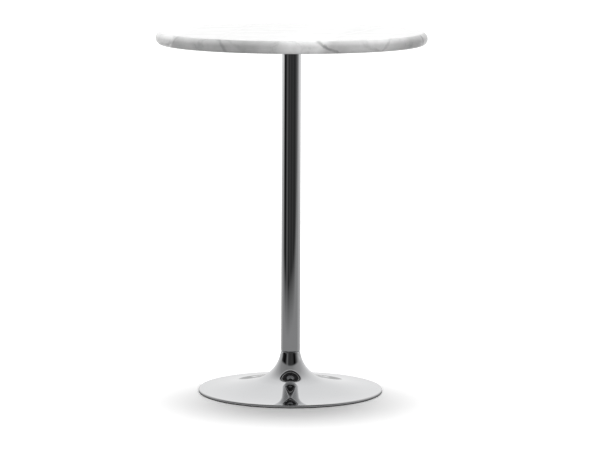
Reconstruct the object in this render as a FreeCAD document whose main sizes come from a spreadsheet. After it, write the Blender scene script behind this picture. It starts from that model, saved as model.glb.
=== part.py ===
import FreeCAD, Part
import math
import os
import Sketcher

# Round pedestal table: a marble top on one chrome column, clamped to a spun trumpet base.
# Millimetres, +Z up. The origin is the centre of the footprint, on the floor.

DOC_NAME = "PedestalTable"
AXIS = "0"

# Driving dimensions. Lengths are in mm, slopes in degrees.
SIZES = {
    # overall
    "table_height": 1020,
    "top_diameter": 760,
    "base_diameter": 520,
    # stone top: a slab with a band glued under its edge, both turned to one full bullnose
    "edge_thickness": 36,
    "slab_thickness": 20,
    "edge_band_width": 30,
    # board glued into the recess inside the band
    "board_thickness": 15,
    "board_clearance": 1,
    # mounting plate and what is welded to it
    "plate_diameter": 300,
    "plate_thickness": 5,
    "collar_wall": 5,
    "collar_height": 18,
    "collar_clearance": 0.2,
    "rib_count": 4,
    "rib_length": 60,
    "rib_height": 14,
    "rib_tip_height": 4,
    "rib_thickness": 4,
    "boss_diameter": 26,
    "boss_height": 24,
    # screws that hold the plate to the board
    "screw_count": 8,
    "screw_circle": 250,
    "screw_diameter": 6,
    "screw_length": 16,
    "screw_head_diameter": 11,
    "screw_head_height": 4,
    "screw_clearance": 0.3,
    "thread_clearance": 0.1,
    "washer_diameter": 15,
    "washer_thickness": 1.5,
    "insert_diameter": 10,
    "insert_length": 12,
    "insert_clearance": 0.1,
    # column tube, with its lower end rolled in
    "column_diameter": 54,
    "column_wall": 2,
    "column_end_round": 3.5,
    "column_end_flat": 1,
    # tie rod that clamps the whole stack
    "rod_diameter": 12,
    "rod_clearance": 0.5,
    "rod_thread_in_boss": 20,
    "rod_tail": 1.5,
    # spun trumpet shell
    "shell_thickness": 1.5,
    "neck_height": 115,
    "neck_step": 0.4,
    "neck_round": 1.5,
    "neck_lean": 8,
    "dish_slope": 15,
    "dish_arc_radius": 800,
    "brim_slope": 9,
    "rim_slope": 0.5,
    "rim_height": 8.5,
    "rim_round": 3,
    # rubber ring under the rim
    "foot_height": 3,
    "foot_width": 18,
    "foot_setback": 0.5,
    "foot_round": 1.5,
    # steel plate that closes the base and cast weight on it
    "base_plate_thickness": 3.5,
    "base_plate_clearance": 0.5,
    "ballast_margin": 6,
    "ballast_gap": 1.5,
    "ballast_height": 36,
    "recess_diameter": 56,
    "recess_depth": 14,
    "socket_depth": 12,
    "ballast_screw_count": 4,
    "ballast_screw_circle": 200,
    "ballast_screw_length": 14,
    "countersink_diameter": 12,
    # core tube in the neck, and what centres the column on it
    "core_wall": 3,
    "core_rise": 55,
    "core_clearance": 0.3,
    "cap_wall": 3,
    "cap_clearance": 0.1,
    "cap_height": 25,
    "cap_lip": 2,
    "neck_ring_height": 8,
    "neck_ring_clearance": 0.4,
    # nut and washers under the weight
    "clamp_washer_diameter": 50,
    "clamp_washer_thickness": 4,
    "spring_washer_diameter": 21,
    "spring_washer_thickness": 3,
    "spring_washer_slot": 2,
    "nut_across_flats": 18,
    "nut_height": 10,
}

# Sizes that follow from the driving ones, in the order in which they need each other.
DERIVED = {
    # heights in the top
    "stone_bottom": "Sizes.table_height - Sizes.edge_thickness",
    "board_bottom": "Sizes.table_height - Sizes.slab_thickness - Sizes.board_thickness",
    "plate_bottom": "Derived.board_bottom - Sizes.plate_thickness",
    # radii round the column
    "column_radius": "Sizes.column_diameter / 2",
    "column_bore": "Derived.column_radius - Sizes.column_wall",
    "collar_bore": "Derived.column_radius + Sizes.collar_clearance",
    "collar_radius": "Derived.collar_bore + Sizes.collar_wall",
    "core_radius": "Derived.column_bore - Sizes.cap_wall - 2 * Sizes.cap_clearance",
    "neck_opening": "Derived.core_radius + Sizes.core_clearance",
    "neck_radius": "Derived.column_radius + Sizes.neck_step",
    "rod_radius": "Sizes.rod_diameter / 2",
    "rod_hole": "Derived.rod_radius + Sizes.rod_clearance",
    "screw_radius": "Sizes.screw_diameter / 2",
    "thread_hole": "Derived.screw_radius + Sizes.thread_clearance",
    "screw_hole": "Derived.screw_radius + Sizes.screw_clearance",
    "insert_hole": "Sizes.insert_diameter / 2 + Sizes.insert_clearance",
    # trumpet shell: flare, dish and brim are tangent arcs that meet at dish_slope and brim_slope
    "base_radius": "Sizes.base_diameter / 2",
    "rim_x": "Derived.base_radius - Sizes.rim_round * (1 - sin(Sizes.rim_slope))",
    "flare_start": "Sizes.neck_height - Sizes.neck_round",
    "flare_out": "cos(Sizes.neck_lean) - sin(Sizes.dish_slope)",
    "flare_down": "cos(Sizes.dish_slope) - sin(Sizes.neck_lean)",
    "dish_radius": "Sizes.dish_arc_radius",
    "dish_out": "sin(Sizes.dish_slope) - sin(Sizes.brim_slope)",
    "dish_down": "cos(Sizes.brim_slope) - cos(Sizes.dish_slope)",
    "brim_out": "sin(Sizes.brim_slope) - sin(Sizes.rim_slope)",
    "brim_down": "cos(Sizes.rim_slope) - cos(Sizes.brim_slope)",
    "arc_scale": "Derived.brim_out * Derived.flare_down - Derived.flare_out * Derived.brim_down",
    "arcs_out": "Derived.rim_x - Derived.neck_radius - Derived.dish_radius * Derived.dish_out",
    "arcs_down": "Derived.flare_start - Sizes.rim_height - Derived.dish_radius * Derived.dish_down",
    "flare_radius": "(Derived.brim_out * Derived.arcs_down - Derived.brim_down * Derived.arcs_out)"
                    " / Derived.arc_scale",
    "brim_radius": "(Derived.flare_down * Derived.arcs_out - Derived.flare_out * Derived.arcs_down)"
                   " / Derived.arc_scale",
    "flare_x": "Derived.neck_radius + Derived.flare_radius * cos(Sizes.neck_lean)",
    "flare_z": "Derived.flare_start + Derived.flare_radius * sin(Sizes.neck_lean)",
    "dish_x": "Derived.flare_x + (Derived.dish_radius - Derived.flare_radius) * sin(Sizes.dish_slope)",
    "dish_z": "Derived.flare_z + (Derived.dish_radius - Derived.flare_radius) * cos(Sizes.dish_slope)",
    "brim_x": "Derived.rim_x + Derived.brim_radius * sin(Sizes.rim_slope)",
    "brim_z": "Sizes.rim_height + Derived.brim_radius * cos(Sizes.rim_slope)",
    "lip_z": "Sizes.rim_height - Sizes.rim_round * cos(Sizes.rim_slope)",
    # closed base: plate, weight and the nut's recess
    "base_plate_radius": "Derived.base_radius - Sizes.rim_round - Sizes.base_plate_clearance",
    "ballast_bottom": "Sizes.foot_height + Sizes.base_plate_thickness",
    "ballast_top": "Derived.ballast_bottom + Sizes.ballast_height",
    "ballast_radius": "Derived.dish_x - Derived.dish_radius * sin(Sizes.brim_slope)"
                      " - Sizes.ballast_margin",
    "ballast_offset": "Sizes.shell_thickness + Sizes.ballast_gap",
    "recess_radius": "Sizes.recess_diameter / 2",
    "recess_top": "Derived.ballast_bottom + Sizes.recess_depth",
    "socket_radius": "Derived.core_radius + Sizes.cap_clearance",
    "core_bottom": "Derived.ballast_top - Sizes.socket_depth",
    "core_top": "Sizes.neck_height + Sizes.core_rise",
    "spring_washer_bottom": "Derived.recess_top - Sizes.clamp_washer_thickness"
                            " - Sizes.spring_washer_thickness",
    "nut_bottom": "Derived.spring_washer_bottom - Sizes.nut_height",
    "rod_bottom": "Derived.nut_bottom - Sizes.rod_tail",
    "rod_top": "Derived.plate_bottom - Sizes.boss_height + Sizes.rod_thread_in_boss",
}

doc = FreeCAD.newDocument(DOC_NAME)


def make_sheet():
    """Put each driving dimension in a spreadsheet cell with an alias."""
    sheet = doc.addObject("Spreadsheet::Sheet", "Sizes")
    for row, (alias, value) in enumerate(SIZES.items(), start=1):
        sheet.set(f"A{row}", alias)
        sheet.set(f"B{row}", str(value))
        sheet.setAlias(f"B{row}", alias)
    doc.recompute()
    return sheet


def make_derived():
    """Bind each derived size to the sheet, as a property with an expression."""
    derived = doc.addObject("App::VarSet", "Derived")
    for name, expression in DERIVED.items():
        derived.addProperty("App::PropertyFloat", name, "Derived")
        derived.setExpression(name, expression)
        doc.recompute()
    return derived


sheet = make_sheet()
derived = make_derived()


def value_of(expression):
    """The number that an expression gives now."""
    result = sheet.evalExpression(expression)
    return float(getattr(result, "Value", result))


def new_body(label, height="0"):
    """A body whose own zero height stands at the given height."""
    body = doc.addObject("PartDesign::Body", label)
    body.Label = label
    if height != "0":
        body.setExpression(".Placement.Base.z", height)
    return body


def origin_feature(body, role):
    for feature in body.Origin.OriginFeatures:
        if feature.Role == role:
            return feature
    raise LookupError(role)


def new_sketch(body, role):
    """A sketch on one of the body's own origin planes."""
    sketch = body.newObject("Sketcher::SketchObject", body.Name + "_sketch")
    sketch.AttachmentSupport = (origin_feature(body, role), [""])
    sketch.MapMode = "FlatFace"
    return sketch


def bind(sketch, kind, place, expression):
    """Add a constraint whose value is an expression."""
    index = sketch.addConstraint(Sketcher.Constraint(kind, *place, value_of(expression)))
    name = f"size{index}"
    sketch.renameConstraint(index, name)
    sketch.setExpression("Constraints." + name, expression)


def pin_point(sketch, edge, end, x, y):
    """Hold one end of an edge at (x, y), each an expression."""
    if x == AXIS:
        sketch.addConstraint(Sketcher.Constraint("PointOnObject", edge, end, -2))
    else:
        bind(sketch, "DistanceX", (-1, 1, edge, end), x)
    if y == "0":
        sketch.addConstraint(Sketcher.Constraint("PointOnObject", edge, end, -1))
    else:
        bind(sketch, "DistanceY", (-1, 1, edge, end), y)


def arc_between(first, last, radius, turns_left):
    """The short arc of a given radius between two points."""
    chord = last - first
    side = FreeCAD.Vector(-chord.y, chord.x, 0).normalize()
    if not turns_left:
        side = side.negative()
    reach = math.sqrt(max(radius ** 2 - (chord.Length / 2) ** 2, 0.0))
    centre = (first + last) * 0.5 + side * reach
    start, end = (first, last) if turns_left else (last, first)
    angles = [math.atan2((point - centre).y, (point - centre).x) for point in (start, end)]
    return Part.ArcOfCircle(Part.Circle(centre, FreeCAD.Vector(0, 0, 1), radius), *angles)


def draw_outline(body, corners, rounds=None, axis_at=None):
    """A closed outline in the XZ plane.

    corners are (radius, height) expressions. rounds gives, for the edge that leaves a
    corner, the radius of its arc and whether it turns left. axis_at is the distance of
    the outline's own upright axis from the body's axis.
    """
    sketch = new_sketch(body, "XZ_Plane")
    rounds = rounds or {}
    offset = value_of(axis_at) if axis_at else 0.0
    if axis_at:
        corners = [(f"{axis_at} + ({x})" if x != AXIS else axis_at, z) for x, z in corners]
    points = [FreeCAD.Vector(value_of(x), value_of(z), 0) for x, z in corners]
    ends = []
    for index, point in enumerate(points):
        following = points[(index + 1) % len(points)]
        if index in rounds:
            radius, turns_left = rounds[index]
            edge = sketch.addGeometry(arc_between(point, following, value_of(radius), turns_left))
            ends.append((edge, 1, 2) if turns_left else (edge, 2, 1))
        else:
            edge = sketch.addGeometry(Part.LineSegment(point, following))
            ends.append((edge, 1, 2))
    for index, (edge, start, end) in enumerate(ends):
        next_edge, next_start, _ = ends[(index + 1) % len(ends)]
        sketch.addConstraint(Sketcher.Constraint("Coincident", edge, end, next_edge, next_start))
        pin_point(sketch, edge, start, *corners[index])
    for index, (radius, _) in rounds.items():
        bind(sketch, "Radius", (ends[index][0],), radius)
    if axis_at:
        low = FreeCAD.Vector(offset, 0, 0)
        high = FreeCAD.Vector(offset, 1, 0)
        line = sketch.addGeometry(Part.LineSegment(low, high), True)
        pin_point(sketch, line, 1, axis_at, "0")
        pin_point(sketch, line, 2, axis_at, "1")
    return sketch


def revolve(body, sketch, kind="Revolution"):
    """Turn an outline about its own axis, to add metal or, as a Groove, to cut it."""
    feature = body.newObject("PartDesign::" + kind, body.Name + "_" + kind.lower())
    feature.Profile = sketch
    has_own_axis = any(sketch.getConstruction(i) for i in range(sketch.GeometryCount))
    feature.ReferenceAxis = (sketch, ["Axis0" if has_own_axis else "V_Axis"])
    feature.Angle = 360
    doc.recompute()
    return feature


def repeat_round(body, feature, count):
    """Copy a feature round the body's axis."""
    pattern = body.newObject("PartDesign::PolarPattern", body.Name + "_pattern")
    pattern.Originals = [feature]
    pattern.Axis = (origin_feature(body, "Z_Axis"), [""])
    pattern.Angle = 360
    pattern.setExpression("Occurrences", count)
    body.Tip = pattern
    doc.recompute()
    return pattern


def turned(label, corners, rounds=None, height="0"):
    """A sub-part turned about the table's axis."""
    body = new_body(label, height)
    revolve(body, draw_outline(body, corners, rounds))
    return body


def turned_group(label, corners, circle, count, height="0"):
    """Identical turned pieces spaced round a circle."""
    body = new_body(label, height)
    feature = revolve(body, draw_outline(body, corners, axis_at=f"{circle} / 2"))
    repeat_round(body, feature, count)
    return body


def drill_round(body, corners, circle, count):
    """Turned holes spaced round a circle. Each one has to remove metal."""
    before = body.Shape.Volume
    feature = revolve(body, draw_outline(body, corners, axis_at=f"{circle} / 2"), "Groove")
    repeat_round(body, feature, count)
    if body.Shape.Volume >= before:
        raise ValueError(body.Label + ": the holes cut nothing")


def box_outline(inner, outer, bottom, top):
    """The four corners of a plain ring's section."""
    return [(inner, bottom), (outer, bottom), (outer, top), (inner, top)]


def on_arc(arc, offset, slope):
    """The point where an arc of the shell, moved down by an offset, has a given slope."""
    radius = f"(Derived.{arc}_radius + {offset})"
    return (f"Derived.{arc}_x - {radius} * sin({slope})", f"Derived.{arc}_z - {radius} * cos({slope})")


def arc_x_at(arc, offset, height):
    """The radius at which that moved arc reaches a height."""
    radius = f"(Derived.{arc}_radius + {offset})"
    return f"Derived.{arc}_x - sqrt({radius}^2 - (Derived.{arc}_z - ({height}))^2)"


def arc_z_at(arc, offset, reach):
    """The height at which that moved arc reaches a radius."""
    radius = f"(Derived.{arc}_radius + {offset})"
    return f"Derived.{arc}_z - sqrt({radius}^2 - (Derived.{arc}_x - ({reach}))^2)"


def make_top():
    """The stone and the board, which carries the threaded inserts."""
    bullnose = "Sizes.edge_thickness / 2"
    edge = "Sizes.top_diameter / 2"
    recess = f"{edge} - Sizes.edge_band_width"
    recess_depth = "Sizes.edge_thickness - Sizes.slab_thickness"
    stone = [
        (AXIS, recess_depth),
        (recess, recess_depth),
        (recess, "0"),
        (f"{edge} - {bullnose}", "0"),
        (edge, bullnose),
        (f"{edge} - {bullnose}", "Sizes.edge_thickness"),
        (AXIS, "Sizes.edge_thickness"),
    ]
    rounds = {3: (bullnose, True), 4: (bullnose, True)}
    nodes = [turned("marble_top", stone, rounds, "Derived.stone_bottom")]

    board_radius = f"{recess} - Sizes.board_clearance"
    section = box_outline(AXIS, board_radius, "0", "Sizes.board_thickness")
    board = turned("backing_board", section, height="Derived.board_bottom")
    insert_hole = box_outline(AXIS, "Derived.insert_hole", "0", "Sizes.insert_length")
    drill_round(board, insert_hole, "Sizes.screw_circle", "Sizes.screw_count")
    nodes.append(board)

    insert = box_outline("Derived.thread_hole", "Sizes.insert_diameter / 2", "0", "Sizes.insert_length")
    nodes.append(turned_group("threaded_inserts", insert, "Sizes.screw_circle", "Sizes.screw_count",
                              "Derived.board_bottom"))
    return nodes


def make_plate():
    """The plate, with its collar, ribs and threaded boss."""
    section = box_outline(AXIS, "Sizes.plate_diameter / 2", "0", "Sizes.plate_thickness")
    plate = turned("mounting_plate", section, height="Derived.plate_bottom")
    hole = box_outline(AXIS, "Derived.screw_hole", "0", "Sizes.plate_thickness")
    drill_round(plate, hole, "Sizes.screw_circle", "Sizes.screw_count")

    section = box_outline("Derived.collar_bore", "Derived.collar_radius", "0", "Sizes.collar_height")
    collar = turned("plate_collar", section, height="Derived.plate_bottom - Sizes.collar_height")

    ribs = new_body("plate_ribs", "Derived.plate_bottom - Sizes.rib_height")
    rib_end = "Derived.collar_radius + Sizes.rib_length"
    rib = [
        ("Derived.collar_radius", "0"),
        (rib_end, "Sizes.rib_height - Sizes.rib_tip_height"),
        (rib_end, "Sizes.rib_height"),
        ("Derived.collar_radius", "Sizes.rib_height"),
    ]
    pad = ribs.newObject("PartDesign::Pad", "plate_ribs_pad")
    pad.Profile = draw_outline(ribs, rib)
    pad.setExpression("Length", "Sizes.rib_thickness")
    pad.Midplane = True
    doc.recompute()
    repeat_round(ribs, pad, "Sizes.rib_count")

    section = box_outline("Derived.rod_radius + Sizes.thread_clearance", "Sizes.boss_diameter / 2",
                          "0", "Sizes.boss_height")
    boss = turned("rod_boss", section, height="Derived.plate_bottom - Sizes.boss_height")
    return [plate, collar, ribs, boss]


def make_plate_fasteners():
    """Screws with washers, driven up through the plate into the inserts."""
    head_top = "Sizes.screw_head_height"
    screw = [
        (AXIS, "0"),
        ("Sizes.screw_head_diameter / 2", "0"),
        ("Sizes.screw_head_diameter / 2", head_top),
        ("Derived.screw_radius", head_top),
        ("Derived.screw_radius", f"{head_top} + Sizes.screw_length"),
        (AXIS, f"{head_top} + Sizes.screw_length"),
    ]
    washer_bottom = "Derived.plate_bottom - Sizes.washer_thickness"
    screws = turned_group("plate_screws", screw, "Sizes.screw_circle", "Sizes.screw_count",
                          f"{washer_bottom} - Sizes.screw_head_height")
    washer = box_outline("Derived.screw_hole", "Sizes.washer_diameter / 2", "0", "Sizes.washer_thickness")
    washers = turned_group("plate_washers", washer, "Sizes.screw_circle", "Sizes.screw_count",
                           washer_bottom)
    return [screws, washers]


def make_column():
    """The tube, with its lower end rolled in, and the rod that runs through it."""
    length = "Derived.plate_bottom - Sizes.neck_height"
    end_x = "Derived.column_radius - Sizes.column_end_round"
    tube = [
        (f"{end_x} - Sizes.column_end_flat", "0"),
        (end_x, "0"),
        ("Derived.column_radius", "Sizes.column_end_round"),
        ("Derived.column_radius", length),
        ("Derived.column_bore", length),
        ("Derived.column_bore", "Sizes.column_end_round"),
        (end_x, "Sizes.column_wall"),
        (f"{end_x} - Sizes.column_end_flat", "Sizes.column_wall"),
    ]
    rounds = {
        1: ("Sizes.column_end_round", True),
        5: ("Sizes.column_end_round - Sizes.column_wall", False),
    }
    column = turned("column_tube", tube, rounds, "Sizes.neck_height")
    section = box_outline(AXIS, "Derived.rod_radius", "0", "Derived.rod_top - Derived.rod_bottom")
    rod = turned("tie_rod", section, height="Derived.rod_bottom")
    return [column, rod]


def make_shell():
    """The spun shell: rolled neck, flare, shallow dish, flat brim and turned-down rim."""
    sheet_metal = "Sizes.shell_thickness"
    foot = "Sizes.foot_height"
    neck_under = f"Sizes.neck_height - {sheet_metal}"
    corners = [
        ("Derived.neck_opening", neck_under),
        (arc_x_at("flare", sheet_metal, neck_under), neck_under),
        on_arc("flare", sheet_metal, "Sizes.dish_slope"),
        on_arc("dish", sheet_metal, "Sizes.brim_slope"),
        on_arc("brim", sheet_metal, "Sizes.rim_slope"),
        (f"Derived.base_radius - {sheet_metal}", "Derived.lip_z"),
        (f"Derived.base_radius - {sheet_metal}", foot),
        ("Derived.base_radius", foot),
        ("Derived.base_radius", "Derived.lip_z"),
        ("Derived.rim_x", "Sizes.rim_height"),
        on_arc("dish", "0", "Sizes.brim_slope"),
        on_arc("dish", "0", "Sizes.dish_slope"),
        ("Derived.neck_radius", "Derived.flare_start"),
        ("Derived.neck_radius - Sizes.neck_round", "Sizes.neck_height"),
        ("Derived.neck_opening", "Sizes.neck_height"),
    ]
    rounds = {
        1: (f"Derived.flare_radius + {sheet_metal}", True),
        2: (f"Derived.dish_radius + {sheet_metal}", True),
        3: (f"Derived.brim_radius + {sheet_metal}", True),
        4: (f"Sizes.rim_round - {sheet_metal}", False),
        8: ("Sizes.rim_round", True),
        9: ("Derived.brim_radius", False),
        10: ("Derived.dish_radius", False),
        11: ("Derived.flare_radius", False),
        12: ("Sizes.neck_round", True),
    }
    return turned("trumpet_shell", corners, rounds)


def make_weight():
    """The cast weight, whose upper face follows the inside of the shell."""
    offset = "Derived.ballast_offset"
    corners = [
        ("Derived.recess_radius", "Derived.ballast_bottom"),
        ("Derived.ballast_radius", "Derived.ballast_bottom"),
        ("Derived.ballast_radius", arc_z_at("dish", offset, "Derived.ballast_radius")),
        on_arc("dish", offset, "Sizes.dish_slope"),
        (arc_x_at("flare", offset, "Derived.ballast_top"), "Derived.ballast_top"),
        ("Derived.socket_radius", "Derived.ballast_top"),
        ("Derived.socket_radius", "Derived.core_bottom"),
        ("Derived.rod_hole", "Derived.core_bottom"),
        ("Derived.rod_hole", "Derived.recess_top"),
        ("Derived.recess_radius", "Derived.recess_top"),
    ]
    rounds = {
        2: (f"Derived.dish_radius + {offset}", False),
        3: (f"Derived.flare_radius + {offset}", False),
    }
    weight = turned("ballast_weight", corners, rounds)
    tapped_top = "Sizes.foot_height + Sizes.ballast_screw_length"
    tapped_hole = box_outline(AXIS, "Derived.thread_hole", "Derived.ballast_bottom", tapped_top)
    drill_round(weight, tapped_hole, "Sizes.ballast_screw_circle", "Sizes.ballast_screw_count")
    return weight


def countersunk(grow, bottom, top):
    """The outline of a countersunk screw, grown sideways by a clearance."""
    head = "Sizes.countersink_diameter / 2"
    shank = "Derived.screw_radius"
    return [
        (AXIS, bottom),
        (f"{head} + {grow}", bottom),
        (f"{shank} + {grow}", f"{bottom} + {head} - {shank}"),
        (f"{shank} + {grow}", top),
        (AXIS, top),
    ]


def make_base_plate():
    """The plate under the weight, and the countersunk screws that hold the two together."""
    foot = "Sizes.foot_height"
    section = box_outline("Derived.recess_radius", "Derived.base_plate_radius", foot, "Derived.ballast_bottom")
    plate = turned("base_plate", section)
    hole = countersunk("Sizes.thread_clearance", foot, "Derived.ballast_bottom")
    drill_round(plate, hole, "Sizes.ballast_screw_circle", "Sizes.ballast_screw_count")
    screws = turned_group("ballast_screws", countersunk("0", foot, f"{foot} + Sizes.ballast_screw_length"),
                          "Sizes.ballast_screw_circle", "Sizes.ballast_screw_count")
    return [plate, screws]


def make_foot():
    """The rubber ring, rounded where it meets the floor on the outside."""
    outer = "Derived.base_radius - Sizes.foot_setback"
    corners = [
        (f"{outer} - Sizes.foot_width", "0"),
        (f"{outer} - Sizes.foot_round", "0"),
        (outer, "Sizes.foot_round"),
        (outer, "Sizes.foot_height"),
        (f"{outer} - Sizes.foot_width", "Sizes.foot_height"),
    ]
    return turned("rim_ring", corners, {1: ("Sizes.foot_round", True)})


def make_core():
    """The tube inside the neck, its ring under the neck's ledge, and the cap in the column."""
    core_bore = "Derived.core_radius - Sizes.core_wall"
    section = box_outline(core_bore, "Derived.core_radius", "Derived.core_bottom", "Derived.core_top")
    core = turned("core_tube", section)
    ring_top = "Sizes.neck_height - Sizes.shell_thickness"
    ring_outer = "Derived.neck_radius - Sizes.shell_thickness - Sizes.neck_ring_clearance"
    ring_bottom = f"{ring_top} - Sizes.neck_ring_height"
    ring = turned("neck_ring", box_outline("Derived.core_radius", ring_outer, ring_bottom, ring_top))
    under_lip = "Sizes.cap_height - Sizes.cap_lip"
    cap_outer = "Derived.column_bore - Sizes.cap_clearance"
    cap = [
        ("Derived.socket_radius", "0"),
        (cap_outer, "0"),
        (cap_outer, "Sizes.cap_height"),
        (core_bore, "Sizes.cap_height"),
        (core_bore, under_lip),
        ("Derived.socket_radius", under_lip),
    ]
    return [core, ring, turned("core_cap", cap, height=f"Derived.core_top - ({under_lip})")]


def make_clamp():
    """Clamp washer, split spring washer and nut at the rod's lower end."""
    section = box_outline("Derived.rod_hole", "Sizes.clamp_washer_diameter / 2",
                          "0", "Sizes.clamp_washer_thickness")
    clamp = turned("clamp_washer", section, height="Derived.recess_top - Sizes.clamp_washer_thickness")

    section = box_outline("Derived.rod_hole", "Sizes.spring_washer_diameter / 2",
                          "0", "Sizes.spring_washer_thickness")
    spring = turned("spring_washer", section, height="Derived.spring_washer_bottom")
    uncut = spring.Shape.Volume
    slot = spring.newObject("PartDesign::Pocket", "spring_washer_slot")
    slot.Profile = draw_outline(spring, box_outline("Derived.rod_radius", "Sizes.spring_washer_diameter",
                                                    "0", "Sizes.spring_washer_thickness"))
    slot.setExpression("Length", "Sizes.spring_washer_slot")
    slot.Midplane = True
    doc.recompute()
    if spring.Shape.Volume >= uncut:
        raise ValueError("the spring washer's slot cuts nothing")

    hexagon = doc.addObject("Part::Prism", "nut_hexagon")
    hexagon.Polygon = 6
    hexagon.setExpression("Circumradius", "Sizes.nut_across_flats / 2 / cos(30)")
    hexagon.setExpression("Height", "Sizes.nut_height")
    bore = doc.addObject("Part::Cylinder", "nut_bore")
    bore.setExpression("Radius", "Derived.rod_radius + Sizes.thread_clearance")
    bore.setExpression("Height", "Sizes.nut_height")
    nut = doc.addObject("Part::Cut", "base_nut")
    nut.Label = "base_nut"
    nut.Base = hexagon
    nut.Tool = bore
    nut.setExpression(".Placement.Base.z", "Derived.nut_bottom")
    doc.recompute()
    return [clamp, spring, nut]


def check_document():
    """Stop if any object failed, because recompute does not raise."""
    for item in doc.Objects:
        if "Invalid" in item.State or "Error" in item.State:
            raise ValueError(item.Name + " failed: " + str(item.State))


def write_nodes(nodes):
    """Check each sub-part's shape and write it to its own STEP file."""
    for node in nodes:
        if node.Shape.isNull() or not node.Shape.isValid() or not node.Shape.Solids:
            raise ValueError(node.Label + " has no valid shape")
    os.makedirs("parts", exist_ok=True)
    for node in nodes:
        node.Shape.exportStep(f"parts/{node.Label}.step")
        box = node.Shape.BoundBox
        print(f"{node.Label:18s} solids {len(node.Shape.Solids)}  volume {node.Shape.Volume:12.1f}"
              f"  z {box.ZMin:8.2f} to {box.ZMax:8.2f}  radius {box.XMax:7.2f}")


nodes = make_top() + make_plate() + make_plate_fasteners() + make_column()
nodes += [make_shell(), make_weight()] + make_base_plate() + [make_foot()]
nodes += make_core() + make_clamp()
doc.recompute()
check_document()
write_nodes(nodes)
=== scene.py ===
# %% [markdown]
# # A round bar table in marble and chrome
#
# The table is one marble disc on one chrome tube, which stands on a spun chrome base
# shaped like a trumpet's bell. The imported model already holds every piece at its real
# size. This script builds finer versions of the pieces that show, gives every finish a
# procedural material, and lights the table like a catalogue picture.

# %% Load the frame
import math

import bmesh
import bpy
from mathutils import Matrix, Vector


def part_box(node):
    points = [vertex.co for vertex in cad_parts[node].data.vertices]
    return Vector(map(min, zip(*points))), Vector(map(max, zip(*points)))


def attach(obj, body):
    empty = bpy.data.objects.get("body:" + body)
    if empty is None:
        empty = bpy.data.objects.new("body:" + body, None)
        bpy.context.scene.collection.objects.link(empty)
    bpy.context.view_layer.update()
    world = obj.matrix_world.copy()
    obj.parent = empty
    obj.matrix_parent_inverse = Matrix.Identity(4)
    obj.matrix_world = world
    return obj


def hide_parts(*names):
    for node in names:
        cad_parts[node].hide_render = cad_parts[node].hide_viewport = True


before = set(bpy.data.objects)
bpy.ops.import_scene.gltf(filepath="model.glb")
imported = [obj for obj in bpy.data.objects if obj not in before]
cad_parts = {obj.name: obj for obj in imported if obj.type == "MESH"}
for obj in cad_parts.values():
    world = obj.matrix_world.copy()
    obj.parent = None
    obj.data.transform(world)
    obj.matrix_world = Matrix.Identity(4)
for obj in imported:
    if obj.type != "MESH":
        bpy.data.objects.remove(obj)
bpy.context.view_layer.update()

# %% [markdown]
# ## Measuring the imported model
#
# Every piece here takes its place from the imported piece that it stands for. One could
# type the sizes in again, but then a change to the model would leave the looks behind.
# A box's lowest and highest corners are enough for turned pieces: the radius and the
# two heights.

# %% Read a turned piece's radius and heights
BODY = "root"
MM = 0.001


def turned_size(node):
    """Radius, lowest and highest point of a piece that is turned about the column."""
    low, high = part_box(node)
    return high.x, low.z, high.z


top_radius, top_bottom, top_height = turned_size("marble_top")
column_radius, column_bottom, column_top = turned_size("column_tube")
base_radius, lip_bottom, neck_top = turned_size("trumpet_shell")
print("top", round(top_radius, 4), "column", round(column_radius, 4), "base", round(base_radius, 4))

# %% [markdown]
# ## Turning pieces on a lathe
#
# Nearly everything on this table is round about the column: the stone was ground on a
# turntable, the base was spun over a form, the tube was rolled. So the main tool is a
# lathe: draw half of the section, spin it once round, and merge the seam. The spin
# operator does it, and the normals are worked out after the doubles are merged.
# Hard corners are marked as sharp edges, and the rest is shaded smooth.

# %% Arcs of a section
def arc(centre, radius, start, end, steps):
    """Points along an arc of a section, angles in degrees, measured from straight out."""
    points = []
    for step in range(steps + 1):
        angle = math.radians(start + (end - start) * step / steps)
        points.append((centre[0] + radius * math.cos(angle), centre[1] + radius * math.sin(angle)))
    return points


# %% Wrap a mesh as a piece of the table
def new_piece(name, mesh_data, material, replaced=()):
    """Wrap a finished bmesh in an object that rides on the table."""
    mesh = bpy.data.meshes.new(name)
    mesh_data.to_mesh(mesh)
    mesh_data.free()
    mesh.materials.append(material)
    piece = bpy.data.objects.new(name, mesh)
    bpy.context.scene.collection.objects.link(piece)
    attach(piece, BODY)
    if replaced:
        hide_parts(*replaced)
    print(f"{name}: {len(mesh.polygons)} faces")


# %% Shade a mesh
SHARP_CORNER = math.radians(32)
MERGE_DISTANCE = 1e-6


def finish_mesh(mesh_data):
    """Merge doubles, point the faces out, mark hard corners and shade the rest smooth."""
    bmesh.ops.remove_doubles(mesh_data, verts=mesh_data.verts, dist=MERGE_DISTANCE)
    bmesh.ops.recalc_face_normals(mesh_data, faces=mesh_data.faces)
    for face in mesh_data.faces:
        face.smooth = True
    for edge in mesh_data.edges:
        edge.smooth = not (edge.is_manifold and edge.calc_face_angle(0.0) > SHARP_CORNER)


# %% The lathe
AXIS_DISTANCE = 1e-7


def spin_round(points, steps, closed):
    """Spin a line of (radius, height) points once round the column."""
    mesh_data = bmesh.new()
    verts = [mesh_data.verts.new((radius, 0.0, height)) for radius, height in points]
    pairs = zip(verts[-1:] + verts, verts) if closed else zip(verts, verts[1:])
    edges = [mesh_data.edges.new(pair) for pair in pairs]
    bmesh.ops.spin(mesh_data, geom=verts + edges, cent=(0, 0, 0), axis=(0, 0, 1),
                   angle=math.tau, steps=steps, use_merge=True)
    return mesh_data


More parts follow.
